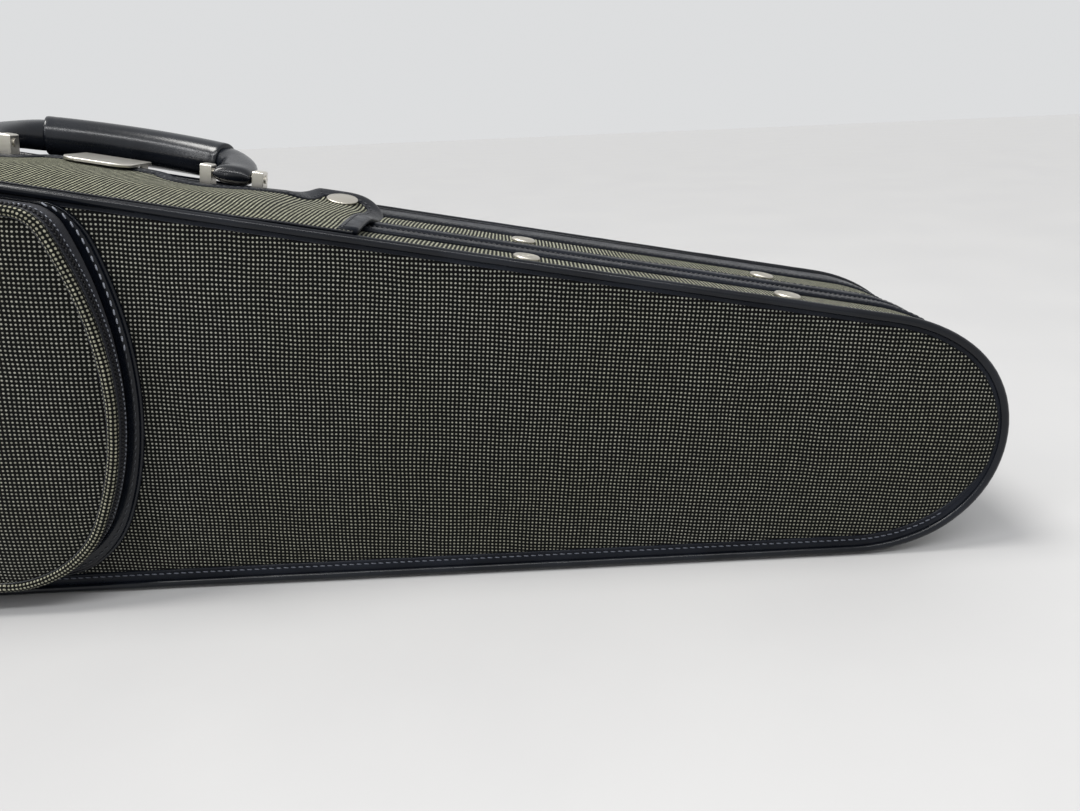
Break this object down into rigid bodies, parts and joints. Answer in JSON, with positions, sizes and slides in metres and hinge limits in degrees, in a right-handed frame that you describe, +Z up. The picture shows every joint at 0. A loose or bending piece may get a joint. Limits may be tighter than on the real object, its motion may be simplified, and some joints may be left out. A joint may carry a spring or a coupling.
{
  "type": "violin case",
  "caption": "Tapered violin case with woven cover, corded rims, folding handle, snap flap over a zip, lid pocket, hinged lid and a shaped foam bed inside.",
  "frame": {"origin": "middle of the bounding box on the table it stands on, with the case closed and standing on its hinge side", "axes": "+X along the hinge side toward the narrow tip, +Y from the lid to the base, +Z up to the handle side"},
  "size_m": [0.7774, 0.1559, 0.244],
  "materials": {
    "shell": "laminated shell",
    "plush": "short plush lining",
    "foam": "plush over foam",
    "weave": "dotted basket weave",
    "vinyl": "satin vinyl",
    "tape": "woven tape",
    "teeth": "coil zip",
    "nickel": "satin nickel",
    "grip": "smooth leatherette",
    "core": "plain"
  },
  "bodies": {
    "base": {"base_shell": "shell", "base_lining": "plush", "base_side_cover": "weave", "base_back_cover": "weave", "base_far_strip": "vinyl", "base_face_strip": "vinyl", "base_rim_bead": "vinyl", "base_zip_edging": "vinyl", "base_zip_tape": "tape", "base_zip_teeth": "teeth", "base_hinge_leaves": "nickel", "hinge_pins": "nickel", "spine_feet": "nickel", "base_studs": "nickel", "snap_sockets": "nickel", "latch_body": "nickel", "handle_brackets": "nickel", "handle_pins": "nickel", "bed_floor": "foam", "bed_upper_wall": "foam", "bed_lower_wall": "foam", "neck_rest": "foam", "suspension_pads": "foam"},
    "lid": {"lid_shell": "shell", "lid_lining": "plush", "lid_side_cover": "weave", "lid_face_cover": "weave", "lid_face_strip": "vinyl", "lid_rim_bead": "vinyl", "lid_zip_edging": "vinyl", "lid_zip_tape": "tape", "lid_zip_teeth": "teeth", "lid_hinge_leaves": "nickel", "lid_feet": "nickel", "lid_studs": "nickel", "pocket_trim": "vinyl", "pocket_gusset": "tape", "pocket_zip": "teeth", "pocket_piping": "weave", "pocket_face": "weave", "bow_blocks": "shell", "bow_tip_sleeves": "weave"},
    "flap": {"flap_panel": "weave", "flap_binding": "vinyl", "snap_caps": "nickel", "latch_plate": "nickel"},
    "handle": {"handle_core": "core", "handle_grip": "grip", "handle_ends": "grip"},
    "right_zip_slider": {"right_slider": "nickel"},
    "right_zip_pull": {"right_pull": "nickel"},
    "left_zip_slider": {"left_slider": "nickel"},
    "left_zip_pull": {"left_pull": "nickel"},
    "pocket_zip_slider": {"pocket_slider": "nickel"},
    "pocket_zip_pull": {"pocket_pull": "nickel"},
    "upper_button": {"upper_turn_button": "core"},
    "lower_button": {"lower_turn_button": "core"}
  },
  "joints": [
    {"name": "lid_hinge", "type": "hinge", "parent": "base", "child": "lid", "pos_m": [0, -0.0102, 0.0037], "axis": [1, 0, 0], "range_deg": [0, 100]},
    {"name": "flap_hinge", "type": "hinge", "parent": "lid", "child": "flap", "pos_m": [-0.05814, -0.0502, 0.20191], "axis": [0.9822, 0, -0.1879], "range_deg": [0, 130]},
    {"name": "handle_hinge", "type": "hinge", "parent": "base", "child": "handle", "pos_m": [-0.0568, 0.0263, 0.20888], "axis": [0.9822, 0, -0.1879], "range_deg": [0, 150]},
    {"name": "right_zip_slide", "type": "slide", "parent": "base", "child": "right_zip_slider", "axis": [0.9822, 0, -0.1879], "range_m": [0, 0.48]},
    {"name": "right_pull_hinge", "type": "hinge", "parent": "right_zip_slider", "child": "right_zip_pull", "pos_m": [-0.20736, -0.0102, 0.23081], "axis": [0.9822, 0, -0.1879], "range_deg": [0, 160]},
    {"name": "left_zip_slide", "type": "slide", "parent": "base", "child": "left_zip_slider", "axis": [-0.9822, 0, 0.1879], "range_m": [0, 0.03]},
    {"name": "left_pull_hinge", "type": "hinge", "parent": "left_zip_slider", "child": "left_zip_pull", "pos_m": [-0.22603, -0.0102, 0.23438], "axis": [0.9822, 0, -0.1879], "range_deg": [0, 160]},
    {"name": "pocket_zip_slide", "type": "slide", "parent": "lid", "child": "pocket_zip_slider", "axis": [0.9822, 0, -0.1879], "range_m": [0, 0.085]},
    {"name": "pocket_pull_hinge", "type": "hinge", "parent": "pocket_zip_slider", "child": "pocket_zip_pull", "pos_m": [-0.17656, -0.0662, 0.22151], "axis": [-0.9822, 0, 0.1879], "range_deg": [0, 60]},
    {"name": "upper_button_turn", "type": "hinge", "parent": "lid", "child": "upper_button", "pos_m": [-0.23211, -0.0352, 0.18665], "axis": [0, 1, 0], "range_deg": [0, 90]},
    {"name": "lower_button_turn", "type": "hinge", "parent": "lid", "child": "lower_button", "pos_m": [-0.24532, -0.0352, 0.04727], "axis": [0, 1, 0], "range_deg": [0, 90]}
  ]
}
